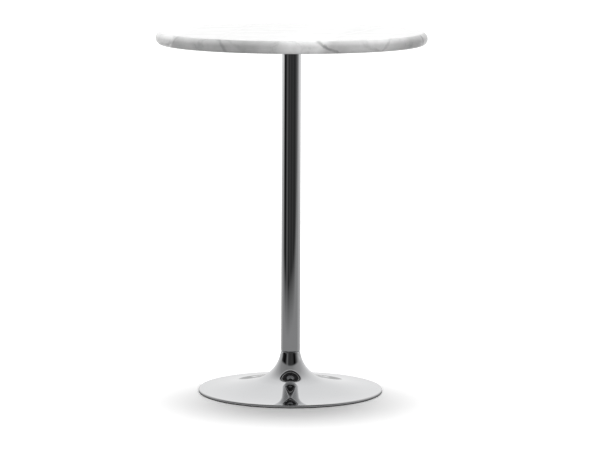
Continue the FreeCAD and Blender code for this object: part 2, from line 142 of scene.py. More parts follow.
def lathe(section, steps=256):
    """Turn a closed section, and take away the faces that its edge on the axis sweeps."""
    mesh_data = spin_round(section, steps, closed=True)
    on_axis = [f for f in mesh_data.faces
               if all(math.hypot(v.co.x, v.co.y) < AXIS_DISTANCE for v in f.verts)]
    bmesh.ops.delete(mesh_data, geom=on_axis, context="FACES_ONLY")
    finish_mesh(mesh_data)
    return mesh_data


def eased_box(inner, outer, bottom, top, ease):
    """The section of a flat ring or disc whose outer corners are eased."""
    corner_low = arc((outer - ease, bottom + ease), ease, -90, 0, 3)
    corner_high = arc((outer - ease, top - ease), ease, 0, 90, 3)
    return [(inner, bottom), *corner_low, *corner_high, (inner, top)]


# %% [markdown]
# ## Building materials by hand
#
# A material is a tree of nodes. Clicking it together is pleasant once, but a script
# needs it in words, so one helper adds a node, sets its options and either sets or
# links each input. Every pattern reads Object coordinates, which are metres here, so a
# scale of 200 means about 200 features in a metre.

# %% Node helpers
def add_node(tree, kind, inputs=None, **options):
    """Add a node. An input's value may be a number, a vector or another node's output."""
    node = tree.nodes.new(kind)
    for option, value in options.items():
        setattr(node, option, value)
    for name, value in (inputs or {}).items():
        socket = node.inputs[name]
        if isinstance(value, bpy.types.NodeSocket):
            tree.links.new(value, socket)
        else:
            socket.default_value = value
    return node


def math_node(tree, operation, first, second=0.0):
    return add_node(tree, "ShaderNodeMath", {0: first, 1: second}, operation=operation).outputs[0]


def blend_colours(tree, share, first, second, blend="MIX"):
    """Mix two colours. A colour Mix has its sockets at places 0, 6 and 7."""
    sockets = {0: share, 6: first, 7: second}
    return add_node(tree, "ShaderNodeMix", sockets, data_type="RGBA", blend_type=blend).outputs[2]


def grey(value):
    return (value, value, value, 1.0)


def spread(tree, value, low, high, to_low=0.0, to_high=1.0, smooth=False):
    """Map a range of values onto another, and hold the ends."""
    values = {"Value": value, "From Min": low, "From Max": high, "To Min": to_low, "To Max": to_high}
    kind = "SMOOTHSTEP" if smooth else "LINEAR"
    return add_node(tree, "ShaderNodeMapRange", values, interpolation_type=kind).outputs["Result"]


def ramp_over(tree, value, low, high, stops, ease="LINEAR"):
    """A ramp of greys over a range of values: stops are (place in the range, grey)."""
    node = add_node(tree, "ShaderNodeValToRGB", {"Fac": spread(tree, value, low, high)})
    ramp = node.color_ramp
    ramp.interpolation = ease
    while len(ramp.elements) < len(stops):
        ramp.elements.new(0.5)
    for element, (place, tone) in zip(ramp.elements, stops):
        element.position = (place - low) / (high - low)
        element.color = grey(tone)
    return node.outputs["Color"]


def object_point(tree):
    return add_node(tree, "ShaderNodeTexCoord").outputs["Object"]


def noise(tree, point, scale, detail=3.0, roughness=0.5):
    values = {"Vector": point, "Scale": scale, "Detail": detail, "Roughness": roughness}
    return add_node(tree, "ShaderNodeTexNoise", values).outputs["Fac"]


# %% Start a material
def new_material(name):
    """An empty material with a Principled shader on its output."""
    material = bpy.data.materials.new(name)
    material.use_nodes = True
    tree = material.node_tree
    tree.nodes.clear()
    shader = add_node(tree, "ShaderNodeBsdfPrincipled")
    add_node(tree, "ShaderNodeOutputMaterial", {"Surface": shader.outputs["BSDF"]})
    return material, tree, shader


def add_bump(tree, shader, height, distance, strength=1.0):
    """Tilt the surface by a height pattern. The distance is the pattern's depth in metres."""
    bump = add_node(tree, "ShaderNodeBump", {"Height": height, "Distance": distance, "Strength": strength})
    tree.links.new(bump.outputs["Normal"], shader.inputs["Normal"])


# %% [markdown]
# ## Effects that several finishes share
#
# A node group is to materials what a function is to code. Two effects are used by more
# than one finish: the fine unevenness that every surface has, with a few soft handling
# marks, and the rings that a tool leaves on whatever is turned or spun. Each group puts
# out plain values, and every material uses them with its own strength.

# %% Start a node group
def new_group(name, inputs, outputs):
    """A node group with named sockets: inputs are (name, kind, default)."""
    tree = bpy.data.node_groups.new(name, "ShaderNodeTree")
    for label, kind, default in inputs:
        socket = tree.interface.new_socket(name=label, in_out="INPUT", socket_type="NodeSocket" + kind)
        if default is not None:
            socket.default_value = default
    for label in outputs:
        tree.interface.new_socket(name=label, in_out="OUTPUT", socket_type="NodeSocketFloat")
    entry = tree.nodes.new("NodeGroupInput")
    leave = tree.nodes.new("NodeGroupOutput")
    return tree, entry.outputs, leave.inputs


def use_group(tree, group, inputs):
    return add_node(tree, "ShaderNodeGroup", inputs, node_tree=group).outputs


# %% Fine unevenness and handling marks
def make_fine_wear():
    tree, entry, leave = new_group("fine_wear", [("Point", "Vector", None), ("Grain", "Float", 400.0)],
                                   ["Cloud", "Grain", "Marks"])
    cloud = noise(tree, entry["Point"], 9.0, 4.0, 0.55)
    grain = noise(tree, entry["Point"], entry["Grain"], 2.0)
    smear = noise(tree, entry["Point"], 38.0, 5.0, 0.62)
    tree.links.new(cloud, leave["Cloud"])
    tree.links.new(grain, leave["Grain"])
    tree.links.new(spread(tree, smear, 0.56, 0.72, smooth=True), leave["Marks"])
    return tree


fine_wear = make_fine_wear()


# %% Rings left by turning
def make_turning_rings():
    """Noise that is stretched once round the column, read by radius and height only."""
    tree, entry, leave = new_group("turning_rings", [("Point", "Vector", None), ("Rings", "Float", 600.0)],
                                   ["Rings"])
    flat = add_node(tree, "ShaderNodeVectorMath", {0: entry["Point"], 1: (1.0, 1.0, 0.0)},
                    operation="MULTIPLY")
    radius = add_node(tree, "ShaderNodeVectorMath", {0: flat.outputs[0]}, operation="LENGTH").outputs["Value"]
    height = add_node(tree, "ShaderNodeSeparateXYZ", {"Vector": entry["Point"]}).outputs["Z"]
    along = add_node(tree, "ShaderNodeCombineXYZ", {"X": radius, "Z": height}).outputs[0]
    tree.links.new(noise(tree, along, entry["Rings"], 2.0), leave["Rings"])
    return tree


turning_rings = make_turning_rings()

# %% [markdown]
# ## Chrome
#
# Chrome plate is a mirror that takes about a third of the light. What makes it look
# real is not its colour but what it reflects and how slightly uneven it is: a soft
# haze where it was wiped, rings from spinning that are too fine to see one by one, and
# long low waves in the metal. The roughness stays low and changes slowly over the
# surface, and the bump is a few hundredths of a millimetre at most.

# %% Chrome plate
def make_chrome():
    material, tree, shader = new_material("chrome_plate")
    point = object_point(tree)
    wear = use_group(tree, fine_wear, {"Point": point, "Grain": 700.0})
    rings = use_group(tree, turning_rings, {"Point": point, "Rings": 260.0})["Rings"]
    shader.inputs["Metallic"].default_value = 1.0
    tint = blend_colours(tree, wear["Cloud"], (0.70, 0.705, 0.715, 1.0), (0.64, 0.645, 0.655, 1.0))
    tree.links.new(tint, shader.inputs["Base Color"])
    haze = math_node(tree, "ADD", spread(tree, wear["Cloud"], 0.35, 0.7, 0.03, 0.055),
                     math_node(tree, "MULTIPLY", wear["Marks"], 0.02))
    tree.links.new(haze, shader.inputs["Roughness"])
    waves = math_node(tree, "ADD", math_node(tree, "MULTIPLY", rings, 0.35), wear["Cloud"])
    add_bump(tree, shader, waves, 0.02 * MM)
    return material


chrome = make_chrome()

# %% [markdown]
# ## Veined marble
#
# The stone is a soft white with broad grey drifts, and veins that run through it as
# thin warped sheets, so a vein on the face carries on down the edge. A vein is made as
# a plane: the distance from the plane, pushed about by noise, fades a mask. One node
# group makes such a sheet, and it is placed once for each vein with its own direction,
# place and width. The broad drifts are one ramp read along the direction in which the
# block was laid down, warped by slow noise. The top face gets painted light, which
# stands in for the strong light from above: a mask read from the height pales it towards
# one grey and fades drifts and veins there.
# Polished stone is smooth, with a low bump where the softer veins are worn deeper.

# %% One vein through the stone
def make_stone_vein():
    inputs = [("Point", "Vector", None), ("Across", "Vector", None), ("Place", "Float", 0.0),
              ("Width", "Float", 0.004), ("Waver", "Float", 0.012)]
    tree, entry, leave = new_group("stone_vein", inputs, ["Vein"])
    reach = add_node(tree, "ShaderNodeVectorMath", {0: entry["Point"], 1: entry["Across"]},
                     operation="DOT_PRODUCT").outputs["Value"]
    slow = math_node(tree, "SUBTRACT", noise(tree, entry["Point"], 6.0, 2.0), 0.5)
    quick = math_node(tree, "SUBTRACT", noise(tree, entry["Point"], 45.0, 3.0), 0.5)
    push = math_node(tree, "ADD", slow, math_node(tree, "MULTIPLY", quick, 0.7))
    warped = math_node(tree, "ADD", reach, math_node(tree, "MULTIPLY", push, entry["Waver"]))
    off = math_node(tree, "ABSOLUTE", math_node(tree, "SUBTRACT", warped, entry["Place"]))
    near = math_node(tree, "DIVIDE", off, entry["Width"])
    mask = math_node(tree, "SUBTRACT", 1.0, spread(tree, near, 0.15, 1.0, smooth=True))
    broken = spread(tree, noise(tree, entry["Point"], 17.0, 4.0), 0.32, 0.55, 0.35, 1.0)
    tree.links.new(math_node(tree, "MULTIPLY", mask, broken), leave["Vein"])
    return tree


stone_vein = make_stone_vein()

# %% Where each vein crosses the front of the edge
edge_middle = (top_bottom + top_height) / 2


def on_front_edge(across):
    """A point on the front of the stone's edge, from its distance to the right of the middle."""
    return Vector((across, -math.sqrt(top_radius ** 2 - across ** 2), edge_middle))


# right of the middle, plane normal, width, waver and strength
VEINS = [
    (-0.331, (0.80, 0.20, -0.56), 0.0060, 0.022, 0.40),
    (-0.187, (0.74, -0.10, 0.66), 0.0065, 0.024, 0.50),
    (-0.140, (0.62, 0.40, 0.68), 0.0055, 0.034, 0.22),
    (0.096, (0.50, -0.16, 0.85), 0.0060, 0.024, 0.62),
    (0.205, (0.70, -0.30, 0.64), 0.0080, 0.036, 0.24),
    (0.262, (0.60, 0.25, -0.75), 0.0065, 0.030, 0.24),
    (0.361, (0.93, 0.20, 0.30), 0.0045, 0.012, 0.62),
    (0.020, (0.34, 0.93, 0.12), 0.0050, 0.070, 0.20),
    (-0.060, (-0.42, 0.90, 0.10), 0.0040, 0.080, 0.15),
]
VEIN_GREY = (0.16, 0.16, 0.165, 1.0)

# %% Drifts of grey, and the paler face
# place along the block's direction, tone
DRIFTS = [(-0.376, 0.86), (-0.296, 0.84), (-0.292, 0.55), (-0.220, 0.56), (-0.165, 0.50), (-0.135, 0.44),
          (-0.045, 0.47), (0.005, 0.60), (0.045, 0.80), (0.125, 0.82), (0.150, 0.58), (0.196, 0.60),
          (0.235, 0.72), (0.309, 0.70), (0.340, 0.52), (0.366, 0.46), (0.374, 0.50), (0.376, 0.66)]
BLOCK_DIRECTION = Vector((0.99, -0.14, -0.70))
BLOCK_REACH = 0.4
DRIFT_WANDER = 0.03
# how far below the top the painted light on the face starts, and where it is full
PAINTED_LIGHT_FADE_DEPTH = 1.6 * MM
PAINTED_LIGHT_FULL_DEPTH = 0.3 * MM
# painted light: how far the top face is blended towards a pale grey, standing in for the strong light from
# above
PAINTED_LIGHT_SHARE = 0.8
PAINTED_LIGHT_GREY = 0.87


def stone_tone(tree, point, face):
    """The stone without its veins: drifts and clouds, with painted light that pales the top face where the
    mask is high.
    """
    reach = add_node(tree, "ShaderNodeVectorMath", {0: point, 1: BLOCK_DIRECTION}, operation="DOT_PRODUCT")
    level = math_node(tree, "SUBTRACT", reach.outputs["Value"], edge_middle * BLOCK_DIRECTION.z)
    wander = math_node(tree, "SUBTRACT", noise(tree, point, 5.0, 4.0, 0.55), 0.5)
    along = math_node(tree, "ADD", level, math_node(tree, "MULTIPLY", wander, DRIFT_WANDER))
    drift = ramp_over(tree, along, -BLOCK_REACH, BLOCK_REACH, DRIFTS)
    cloud = spread(tree, noise(tree, point, 14.0, 6.0, 0.62), 0.3, 0.7, 0.86, 1.14)
    edge_tone = blend_colours(tree, 1.0, drift, cloud, "MULTIPLY")
    # painted light: the top face is blended towards one pale grey
    return blend_colours(tree, face, edge_tone, grey(PAINTED_LIGHT_GREY))


def stone_veins(tree, point):
    """The strongest of all the veins at a point."""
    veins = None
    for across, normal, width, waver, strength in VEINS:
        direction = Vector(normal).normalized()
        place = on_front_edge(across).dot(direction)
        vein = use_group(tree, stone_vein, {"Point": point, "Across": direction, "Place": place,
                                            "Width": width, "Waver": waver})["Vein"]
        share = math_node(tree, "MULTIPLY", vein, strength)
        veins = share if veins is None else math_node(tree, "MAXIMUM", veins, share)
    return veins


# %% Polished marble
def make_marble():
    material, tree, shader = new_material("veined_marble")
    point = object_point(tree)
    height = add_node(tree, "ShaderNodeSeparateXYZ", {"Vector": point}).outputs["Z"]
    # painted light: a mask read from the height pales the top face and fades its veins
    face = spread(tree, height, top_height - PAINTED_LIGHT_FADE_DEPTH, top_height - PAINTED_LIGHT_FULL_DEPTH, 0.0, PAINTED_LIGHT_SHARE)
    veins = stone_veins(tree, point)
    shown = math_node(tree, "MULTIPLY", veins, math_node(tree, "SUBTRACT", 1.0, face))
    tint = blend_colours(tree, shown, stone_tone(tree, point, face), VEIN_GREY)
    tree.links.new(tint, shader.inputs["Base Color"])
    wear = use_group(tree, fine_wear, {"Point": point, "Grain": 900.0})
    polish = math_node(tree, "ADD", spread(tree, wear["Cloud"], 0.3, 0.7, 0.12, 0.2),
                       math_node(tree, "MULTIPLY", veins, 0.12))
    tree.links.new(polish, shader.inputs["Roughness"])
    relief = math_node(tree, "SUBTRACT", math_node(tree, "MULTIPLY", wear["Grain"], 0.1), veins)
    add_bump(tree, shader, relief, 0.05 * MM, 0.6)
    return material


marble = make_marble()

# %% [markdown]
# ## The plainer finishes
#
# The other finishes differ in colour, shine and grain, so one recipe makes them all: a
# colour that drifts a little, a roughness between two values with a few wiped marks,
# and a bump of the finish's own grain. Zinc plate, drawn steel and screws are metal,
# and the coated, moulded and cast pieces are not.

# %% A recipe for plain finishes
def make_finish(name, colour, rough, grain, depth, metal=0.0, rings=0.0, drift=0.12):
    """rough is (low, high), grain is features in a metre, depth is in metres."""
    material, tree, shader = new_material(name)
    point = object_point(tree)
    wear = use_group(tree, fine_wear, {"Point": point, "Grain": grain})
    lighter = tuple(min(1.0, c * (1 + drift)) for c in colour)
    darker = tuple(c * (1 - drift) for c in colour)
    tint = blend_colours(tree, spread(tree, wear["Cloud"], 0.3, 0.7), (*darker, 1.0), (*lighter, 1.0))
    tree.links.new(tint, shader.inputs["Base Color"])
    shader.inputs["Metallic"].default_value = metal
    shine = math_node(tree, "SUBTRACT", spread(tree, wear["Grain"], 0.3, 0.7, *rough),
                      math_node(tree, "MULTIPLY", wear["Marks"], 0.06))
    tree.links.new(shine, shader.inputs["Roughness"])
    relief = wear["Grain"]
    if rings:
        turned = use_group(tree, turning_rings, {"Point": point, "Rings": rings})["Rings"]
        relief = math_node(tree, "ADD", relief, turned)
    add_bump(tree, shader, relief, depth)
    return material


zinc = make_finish("zinc_plate", (0.62, 0.63, 0.64), (0.24, 0.40), 350.0, 0.03 * MM, metal=1.0)
drawn_steel = make_finish("drawn_steel", (0.42, 0.42, 0.43), (0.28, 0.46), 500.0, 0.03 * MM, metal=1.0,
                          rings=900.0)
powder_coat = make_finish("black_powder_coat", (0.05, 0.05, 0.053), (0.34, 0.52), 1400.0, 0.06 * MM)
rubber = make_finish("black_rubber", (0.022, 0.022, 0.022), (0.55, 0.78), 1800.0, 0.04 * MM, rings=500.0)
cast_iron = make_finish("cast_iron", (0.12, 0.12, 0.125), (0.55, 0.85), 260.0, 0.35 * MM, drift=0.2)
nylon = make_finish("natural_nylon", (0.75, 0.75, 0.72), (0.38, 0.50), 800.0, 0.02 * MM, drift=0.03)


# %% Stained board
# features in a metre along the grain, across it and through the board
WOOD_GRAIN = (6.0, 220.0, 60.0)


def make_board():
    """Black-stained plywood: long grain that shows through the stain as fine ridges."""
    material, tree, shader = new_material("stained_board")
    stretched = add_node(tree, "ShaderNodeMapping", {"Vector": object_point(tree), "Scale": WOOD_GRAIN})
    grain = noise(tree, stretched.outputs[0], 1.0, 5.0, 0.6)
    tint = blend_colours(tree, spread(tree, grain, 0.35, 0.65), (0.012, 0.012, 0.013, 1.0),
                         (0.034, 0.033, 0.033, 1.0))
    tree.links.new(tint, shader.inputs["Base Color"])
    tree.links.new(spread(tree, grain, 0.3, 0.7, 0.38, 0.62), shader.inputs["Roughness"])
    add_bump(tree, shader, grain, 0.12 * MM)
    return material


stained_board = make_board()

# %% [markdown]
# ## The stone top
#
# The slab has one full round along its edge, as deep as the stone is thick, and a
# recess underneath for the board. It is one lathe section: the recess, the underside's
# rim, the round nose as an arc of half a circle, and the flat face, with two extra
# rings on the face so that its long thin faces shade evenly.

# %% Stone top
BOARD_CLEARANCE = 1 * MM
FACE_RINGS = (0.7, 0.35)
edge_round = (top_height - top_bottom) / 2
board_radius, board_bottom, recess_top = turned_size("backing_board")
recess_radius = board_radius + BOARD_CLEARANCE
nose_x = top_radius - edge_round
nose = arc((nose_x, top_bottom + edge_round), edge_round, -90, 90, 32)
stone_section = [(0.0, recess_top), (recess_radius, recess_top), (recess_radius, top_bottom), *nose,
                 *[(nose_x * share, top_height) for share in FACE_RINGS], (0.0, top_height)]
new_piece("stone_top", lathe(stone_section), marble, ["marble_top"])

# %% [markdown]
# ## The chrome column
#
# The column is a plain tube whose lower end is rolled in to a small round, so it meets
# the base in a fine shadow line. The same lathe makes it, wall and bore together.

# %% Chrome tube
END_ROUND = 3.5 * MM
END_FLAT = 1 * MM
TUBE_WALL = 2 * MM
bend = (column_radius - END_ROUND, column_bottom + END_ROUND)
tube_section = [(bend[0] - END_FLAT, column_bottom), *arc(bend, END_ROUND, -90, 0, 10),
                (column_radius, column_top), (column_radius - TUBE_WALL, column_top),
                *arc(bend, END_ROUND - TUBE_WALL, 0, -90, 6), (bend[0] - END_FLAT, column_bottom + TUBE_WALL)]
new_piece("chrome_tube", lathe(tube_section, 128), chrome, ["column_tube"])

# %% [markdown]
# ## The trumpet base
#
# The base is one sheet of steel, spun over a form and plated. Its face is three arcs
# that run into each other without a corner: the flare under the column, the shallow
# dish, and the nearly flat brim, which ends in a small turned-down rim. In a mirror a
# corner between arcs would show at once as a kink in every reflection, so the arcs are
# not drawn by eye. Their slopes where they meet are given, and two of the radii follow
# from where the sheet has to start and end. The inner face is the same arcs moved by
# the sheet's thickness.

# %% The shell's arcs
SHEET = 1.5 * MM
NECK_ROUND = 1.5 * MM
NECK_STEP = 0.4 * MM
NECK_LEAN = 8.0
DISH_SLOPE = 15.0
DISH_RADIUS = 800 * MM
BRIM_SLOPE = 9.0
RIM_SLOPE = 0.5
RIM_ROUND = 3 * MM
RIM_HEIGHT = 8.5 * MM


def sine(angle):
    return math.sin(math.radians(angle))


def cosine(angle):
    return math.cos(math.radians(angle))


rim_x = base_radius - RIM_ROUND * (1 - sine(RIM_SLOPE))
neck_radius = column_radius + NECK_STEP
flare_start = neck_top - NECK_ROUND
flare_out, flare_down = cosine(NECK_LEAN) - sine(DISH_SLOPE), cosine(DISH_SLOPE) - sine(NECK_LEAN)
dish_out, dish_down = sine(DISH_SLOPE) - sine(BRIM_SLOPE), cosine(BRIM_SLOPE) - cosine(DISH_SLOPE)
brim_out, brim_down = sine(BRIM_SLOPE) - sine(RIM_SLOPE), cosine(RIM_SLOPE) - cosine(BRIM_SLOPE)
arc_scale = brim_out * flare_down - flare_out * brim_down
arcs_out = rim_x - neck_radius - DISH_RADIUS * dish_out
arcs_down = flare_start - RIM_HEIGHT - DISH_RADIUS * dish_down
flare_radius = (brim_out * arcs_down - brim_down * arcs_out) / arc_scale
brim_radius = (flare_down * arcs_out - flare_out * arcs_down) / arc_scale
flare_centre = (neck_radius + flare_radius * cosine(NECK_LEAN), flare_start + flare_radius * sine(NECK_LEAN))
dish_centre = (flare_centre[0] + (DISH_RADIUS - flare_radius) * sine(DISH_SLOPE),
               flare_centre[1] + (DISH_RADIUS - flare_radius) * cosine(DISH_SLOPE))
brim_centre = (rim_x + brim_radius * sine(RIM_SLOPE), RIM_HEIGHT + brim_radius * cosine(RIM_SLOPE))
rim_centre = (rim_x - RIM_ROUND * sine(RIM_SLOPE), RIM_HEIGHT - RIM_ROUND * cosine(RIM_SLOPE))
print("flare radius", round(flare_radius, 4), "brim radius", round(brim_radius, 4))


# %% Trumpet base
def shell_side(offset):
    """The shell's face from the neck to the lip, moved in by an offset."""
    return [*arc(flare_centre, flare_radius + offset, 180 + NECK_LEAN, 270 - DISH_SLOPE, 56),
            *arc(dish_centre, DISH_RADIUS + offset, 270 - DISH_SLOPE, 270 - BRIM_SLOPE, 18)[1:],
            *arc(brim_centre, brim_radius + offset, 270 - BRIM_SLOPE, 270 - RIM_SLOPE, 22)[1:],
            *arc(rim_centre, RIM_ROUND - offset, 90 - RIM_SLOPE, 0, 12)[1:],
            (base_radius - offset, lip_bottom)]


CORE_CLEARANCE = 0.3 * MM
JOIN_GAP = 0.1 * MM
SHELL_STEPS = 320
neck_opening = turned_size("core_tube")[0] + CORE_CLEARANCE
neck_round_centre = (neck_radius - NECK_ROUND, flare_start)
inner_face = [p for p in shell_side(SHEET) if p[1] < neck_top - SHEET - JOIN_GAP]
shell_section = [(neck_opening, neck_top), *arc(neck_round_centre, NECK_ROUND, 90, 0, 6),
                 *shell_side(0.0)[1:], *reversed(inner_face), (neck_radius - SHEET, neck_top - SHEET),
                 (neck_opening, neck_top - SHEET)]
new_piece("trumpet_base", lathe(shell_section, SHELL_STEPS), chrome, ["trumpet_shell"])

# %% [markdown]
# ## The rubber ring
#
# The base stands on a moulded rubber ring that lifts the rim off the floor by three
# millimetres. Its outside is rounded where it meets the floor, and a shallow groove
# under it gives it two lips that grip.

# %% Rubber ring
RING_WIDTH = 18 * MM
RING_ROUND = 1.5 * MM
GROOVE_DEPTH = 0.6 * MM
GROOVE_FLOOR = 2 * MM
GROOVE_MOUTH = 3 * MM
ring_radius, ring_bottom, ring_top = turned_size("rim_ring")
ring_inside = ring_radius - RING_WIDTH
ring_middle = ring_radius - RING_WIDTH / 2
ring_section = [(ring_inside, ring_bottom), (ring_middle - GROOVE_MOUTH, ring_bottom),
                (ring_middle - GROOVE_FLOOR, ring_bottom + GROOVE_DEPTH),
                (ring_middle + GROOVE_FLOOR, ring_bottom + GROOVE_DEPTH),
                (ring_middle + GROOVE_MOUTH, ring_bottom),
                *arc((ring_radius - RING_ROUND, ring_bottom + RING_ROUND), RING_ROUND, -90, 0, 6),
                (ring_radius, ring_top), (ring_inside, ring_top)]
new_piece("rubber_ring", lathe(ring_section), rubber, ["rim_ring"])

# %% [markdown]
# ## The board and the mounting plate
#
# Seen from below, the board's rim and the round plate would look stamped out if their
# corners were perfectly sharp. The board is a plain lathe section with eased corners.
# The plate, its collar and its ribs keep the imported pieces, because their holes are
# already right, and the collar gets a weld bead where it meets the plate.

# %% Board with eased corners
BOARD_EASE = 0.8 * MM
board_section = eased_box(0.0, board_radius, board_bottom, recess_top, BOARD_EASE)
new_piece("stained_board", lathe(board_section), stained_board, ["backing_board"])

# %% Weld bead under the plate
BEAD_LEG = 3.5 * MM
BEAD_ROOT = 0.5 * MM
BEAD_STEPS = 360
RIPPLES = 90
RIPPLE_DEPTH = 0.18 * MM
collar_radius, _, plate_bottom = turned_size("plate_collar")


def bead_mesh(inside, height):
    """A fillet bead in the corner under the plate, with the ripples of the arc."""
    bead = arc((inside, height), BEAD_LEG, -90, 0, 6)
    section = [(inside - BEAD_ROOT, height), (inside - BEAD_ROOT, bead[0][1]), *bead]
    mesh_data = lathe(section, BEAD_STEPS)
    for vert in mesh_data.verts:
        reach = math.hypot(vert.co.x, vert.co.y)
        if reach > inside:
            swell = RIPPLE_DEPTH * math.sin(RIPPLES * math.atan2(vert.co.y, vert.co.x))
            vert.co.x *= 1 + swell / reach
            vert.co.y *= 1 + swell / reach
    return mesh_data


new_piece("collar_weld", bead_mesh(collar_radius, plate_bottom), zinc)

# %% [markdown]
# ## Screws
#
# Eight socket screws hold the plate, and four countersunk ones hold the base plate.
# Both have a hexagon socket. One screw is spun from an open profile that ends on the
# axis, and its socket is a separate six-sided pit: the head's flat is made with a round
# hole in it, and the hole's loop is bridged to a hexagon that is extruded inwards. The
# finished screw is copied round its circle by duplicating and rotating the mesh.

# %% One screw with a hexagon socket
KEY_RADIUS = 2.3 * MM
PIT_DEPTH = 2 * MM
SCREW_STEPS = 36


def socket_pit(mesh_data, height):
    """Fill a round hole in a head that faces down with a hexagon socket."""
    rim = [e for e in mesh_data.edges if e.is_boundary]
    hexagon = bmesh.ops.create_circle(mesh_data, cap_ends=False, segments=6, radius=KEY_RADIUS)["verts"]
    bmesh.ops.translate(mesh_data, verts=hexagon, vec=(0, 0, height))
    key_edges = [e for e in mesh_data.edges if e.verts[0] in hexagon and e.verts[1] in hexagon]
    bmesh.ops.bridge_loops(mesh_data, edges=rim + key_edges)
    walls = bmesh.ops.extrude_edge_only(mesh_data, edges=key_edges)["geom"]
    floor = [v for v in walls if isinstance(v, bmesh.types.BMVert)]
    bmesh.ops.translate(mesh_data, verts=floor, vec=(0, 0, PIT_DEPTH))
    floor_edges = [e for e in walls if isinstance(e, bmesh.types.BMEdge)]
    bmesh.ops.contextual_create(mesh_data, geom=floor_edges)


def socket_screw(profile):
    """Spin an open profile that starts at the socket's rim and ends on the axis."""
    mesh_data = spin_round(profile, SCREW_STEPS, closed=False)
    bmesh.ops.remove_doubles(mesh_data, verts=mesh_data.verts, dist=MERGE_DISTANCE)
    socket_pit(mesh_data, profile[0][1])
    finish_mesh(mesh_data)
    return mesh_data


def round_circle(mesh_data, circle_radius, count):
    """Move a mesh out to a circle and copy it round the column."""
    bmesh.ops.translate(mesh_data, verts=mesh_data.verts, vec=(circle_radius, 0, 0))
    first = mesh_data.verts[:] + mesh_data.edges[:] + mesh_data.faces[:]
    for turn in range(1, count):
        copy = bmesh.ops.duplicate(mesh_data, geom=first)["geom"]
        moved = [g for g in copy if isinstance(g, bmesh.types.BMVert)]
        bmesh.ops.rotate(mesh_data, verts=moved, cent=(0, 0, 0),
                         matrix=Matrix.Rotation(math.tau * turn / count, 3, "Z"))
    return mesh_data


# %% Plate screws
SCREW_RADIUS = 3 * MM
TIP_EASE = 0.8 * MM
HEAD_RADIUS = 5.5 * MM
HEAD_HEIGHT = 4 * MM
HEAD_EASE = 0.2 * MM
CROWN_ROUND = 1.6 * MM
PAN_HOLE = 2.9 * MM
PLATE_SCREW_CIRCLE = 125 * MM
PLATE_SCREW_COUNT = 8


def shank(start, tip):
    """The plain part of a screw, from under its head to its eased tip."""
    return [(SCREW_RADIUS, start), (SCREW_RADIUS, tip - TIP_EASE), (SCREW_RADIUS - TIP_EASE, tip), (0.0, tip)]


_, screw_bottom, screw_top = turned_size("plate_screws")
head_top = screw_bottom + HEAD_HEIGHT
crown = arc((HEAD_RADIUS - CROWN_ROUND, screw_bottom + CROWN_ROUND), CROWN_ROUND, -90, 0, 6)
pan_profile = [(PAN_HOLE, screw_bottom), *crown, (HEAD_RADIUS, head_top - HEAD_EASE),
               (HEAD_RADIUS - HEAD_EASE, head_top), *shank(head_top, screw_top)]
pan_screws = round_circle(socket_screw(pan_profile), PLATE_SCREW_CIRCLE, PLATE_SCREW_COUNT)
new_piece("plate_socket_screws", pan_screws, zinc, ["plate_screws"])

# %% Base screws
COUNTERSINK_RADIUS = 6 * MM
FLAT_HOLE = 3 * MM
BASE_SCREW_CIRCLE = 100 * MM
BASE_SCREW_COUNT = 4
_, flush, base_screw_top = turned_size("ballast_screws")
cone_top = flush + COUNTERSINK_RADIUS - SCREW_RADIUS
flat_profile = [(FLAT_HOLE, flush), (COUNTERSINK_RADIUS, flush), *shank(cone_top, base_screw_top)]
flat_screws = round_circle(socket_screw(flat_profile), BASE_SCREW_CIRCLE, BASE_SCREW_COUNT)
new_piece("base_socket_screws", flat_screws, zinc, ["ballast_screws"])

# %% [markdown]
# ## The tie rod and its nut
#
# A threaded rod inside the column pulls the whole table together, and its nut sits in
# a recess under the base. A thread is a helix: one turn's section is spun round the
# axis while it climbs by one pitch, and the spin operator's dvec does the climbing.
# Only the two threaded ends get turns. The ends are cut flat with bisect_plane.

# %% Tie rod
ROD_PITCH = 1.75 * MM
THREAD_DEPTH = 0.9 * MM
THREAD_STEPS = 24
THREAD_LEAD = 1.5
CREST_START = 0.44
CREST_END = 0.56
ROD_STEPS = 48
LOWER_THREAD = 40 * MM
UPPER_THREAD = 24 * MM
rod_radius, rod_bottom, rod_top = turned_size("tie_rod")


def thread_mesh(bottom, top):
    """A helical thread between two heights, cut flat at both ends and closed."""
    mesh_data = bmesh.new()
    root = rod_radius - THREAD_DEPTH
    start = bottom - THREAD_LEAD * ROD_PITCH
    tooth = [(root, 0.0), (rod_radius, ROD_PITCH * CREST_START), (rod_radius, ROD_PITCH * CREST_END),
             (root, ROD_PITCH)]
    verts = [mesh_data.verts.new((radius, 0.0, start + rise)) for radius, rise in tooth]
    edges = [mesh_data.edges.new(pair) for pair in zip(verts, verts[1:])]
    turns = math.ceil((top - start) / ROD_PITCH) + 1
    bmesh.ops.spin(mesh_data, geom=verts + edges, cent=(0, 0, 0), axis=(0, 0, 1), angle=math.tau * turns,
                   steps=THREAD_STEPS * turns, dvec=(0, 0, ROD_PITCH / THREAD_STEPS))
    bmesh.ops.remove_doubles(mesh_data, verts=mesh_data.verts, dist=MERGE_DISTANCE)
    for height, outer, inner in ((bottom, False, True), (top, True, False)):
        everything = mesh_data.verts[:] + mesh_data.edges[:] + mesh_data.faces[:]
        cut = bmesh.ops.bisect_plane(mesh_data, geom=everything, plane_co=(0, 0, height), plane_no=(0, 0, 1),
                                     clear_outer=outer, clear_inner=inner)["geom_cut"]
        rim = [g for g in cut if isinstance(g, bmesh.types.BMEdge)]
        bmesh.ops.holes_fill(mesh_data, edges=rim, sides=0)
    return mesh_data


def add_mesh(target, source):
    """Copy one bmesh into another by way of a mesh."""
    carrier = bpy.data.meshes.new("carrier")
    source.to_mesh(carrier)
    source.free()
    target.from_mesh(carrier)
    bpy.data.meshes.remove(carrier)


